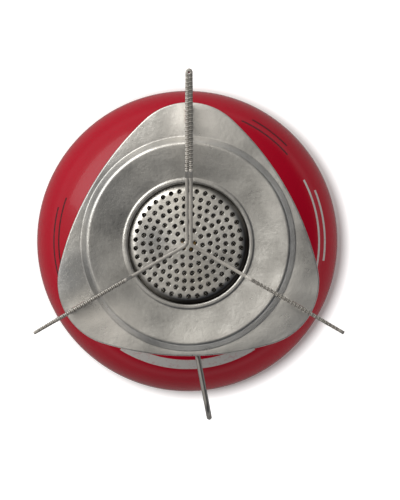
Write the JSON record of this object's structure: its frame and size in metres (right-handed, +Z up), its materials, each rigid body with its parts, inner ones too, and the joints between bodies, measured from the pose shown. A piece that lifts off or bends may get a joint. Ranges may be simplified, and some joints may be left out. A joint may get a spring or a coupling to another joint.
{
  "type": "camping stove",
  "caption": "Small gas camping stove with a flat burner, a folded three-arm pot support and a wire flame handle, screwed on a domed gas canister.",
  "frame": {"origin": "centre of the canister's bottom rim, on the ground", "axes": "+Z up along the canister's axis and the burner's axis, +Y along the doubled support arm, the flame handle towards -Y, +X to its right"},
  "size_m": [0.109, 0.1141, 0.1495],
  "materials": {
    "red_enamel": "gloss enamel on steel",
    "tinned_steel": "tinned sheet steel",
    "black_rubber": "matt",
    "white_plastic": "moulded",
    "spring_steel": "drawn wire",
    "brass": "machined",
    "bronze_filter": "sintered",
    "anodised_aluminium": "bead-blasted and anodised",
    "steel_bar": "turned",
    "wire_steel": "drawn stainless wire",
    "mixer_steel": "turned",
    "screw_steel": "turned",
    "pressed_steel": "pressed stainless sheet",
    "plate_steel": "pressed stainless sheet, satin",
    "disc_steel": "perforated stainless sheet",
    "mesh_steel": "perforated stainless sheet",
    "support_steel": "blanked and folded stainless strip"
  },
  "bodies": {
    "canister": {"canister_shell": "red_enamel", "canister_base": "red_enamel", "valve_cup": "tinned_steel", "cup_gasket": "black_rubber", "valve_housing": "white_plastic", "valve_seal": "black_rubber", "valve_spring": "spring_steel"},
    "stem": {"valve_stem": "white_plastic"},
    "seal_ring": {"canister_seal": "black_rubber"},
    "stove": {"thread_insert": "brass", "probe_pin": "brass", "gas_filter": "bronze_filter", "valve_body": "anodised_aluminium", "gland_nut": "brass", "jet": "brass", "mixer_cage": "mixer_steel", "burner_screws": "screw_steel", "burner_shell": "pressed_steel", "burner_plate": "plate_steel", "burner_disc": "disc_steel", "diffuser": "mesh_steel", "pot_support": "support_steel"},
    "spindle_ring": {"spindle_seal": "black_rubber"},
    "spindle": {"needle_spindle": "steel_bar"},
    "handle": {"handle_wire": "wire_steel"}
  },
  "joints": [
    {"name": "stove_lift", "type": "slide", "parent": "canister", "child": "seal_ring", "axis": [0, 0, 1], "range_m": [0, 0.0059]},
    {"name": "stove_turn", "type": "hinge", "parent": "seal_ring", "child": "stove", "pos_m": [0, 0, 0.092], "axis": [0, 0, 1], "range_deg": [0, 2340]},
    {"name": "stem_rise", "type": "slide", "parent": "canister", "child": "stem", "axis": [0, 0, 1], "range_m": [0, 0.0016], "deforming": ["valve_spring"]},
    {"name": "spindle_travel", "type": "slide", "parent": "stove", "child": "spindle_ring", "axis": [0, -1, 0], "range_m": [0, 0.00105]},
    {"name": "flame_control", "type": "hinge", "parent": "spindle_ring", "child": "spindle", "pos_m": [0, 0, 0.103], "axis": [0, -1, 0], "range_deg": [0, 540]},
    {"name": "handle_swing", "type": "hinge", "parent": "spindle", "child": "handle", "pos_m": [0, -0.021, 0.103], "axis": [0, 0, 1], "range_deg": [-100.7, 79.3]}
  ],
  "couplings": [
    {"joint": "stove_lift", "follows": "stove_turn", "m_per_rad": 0.00014435},
    {"joint": "stem_rise", "follows": "stove_turn", "m_per_rad": 0.0000391},
    {"joint": "spindle_travel", "follows": "flame_control", "m_per_rad": 0.0001114}
  ]
}
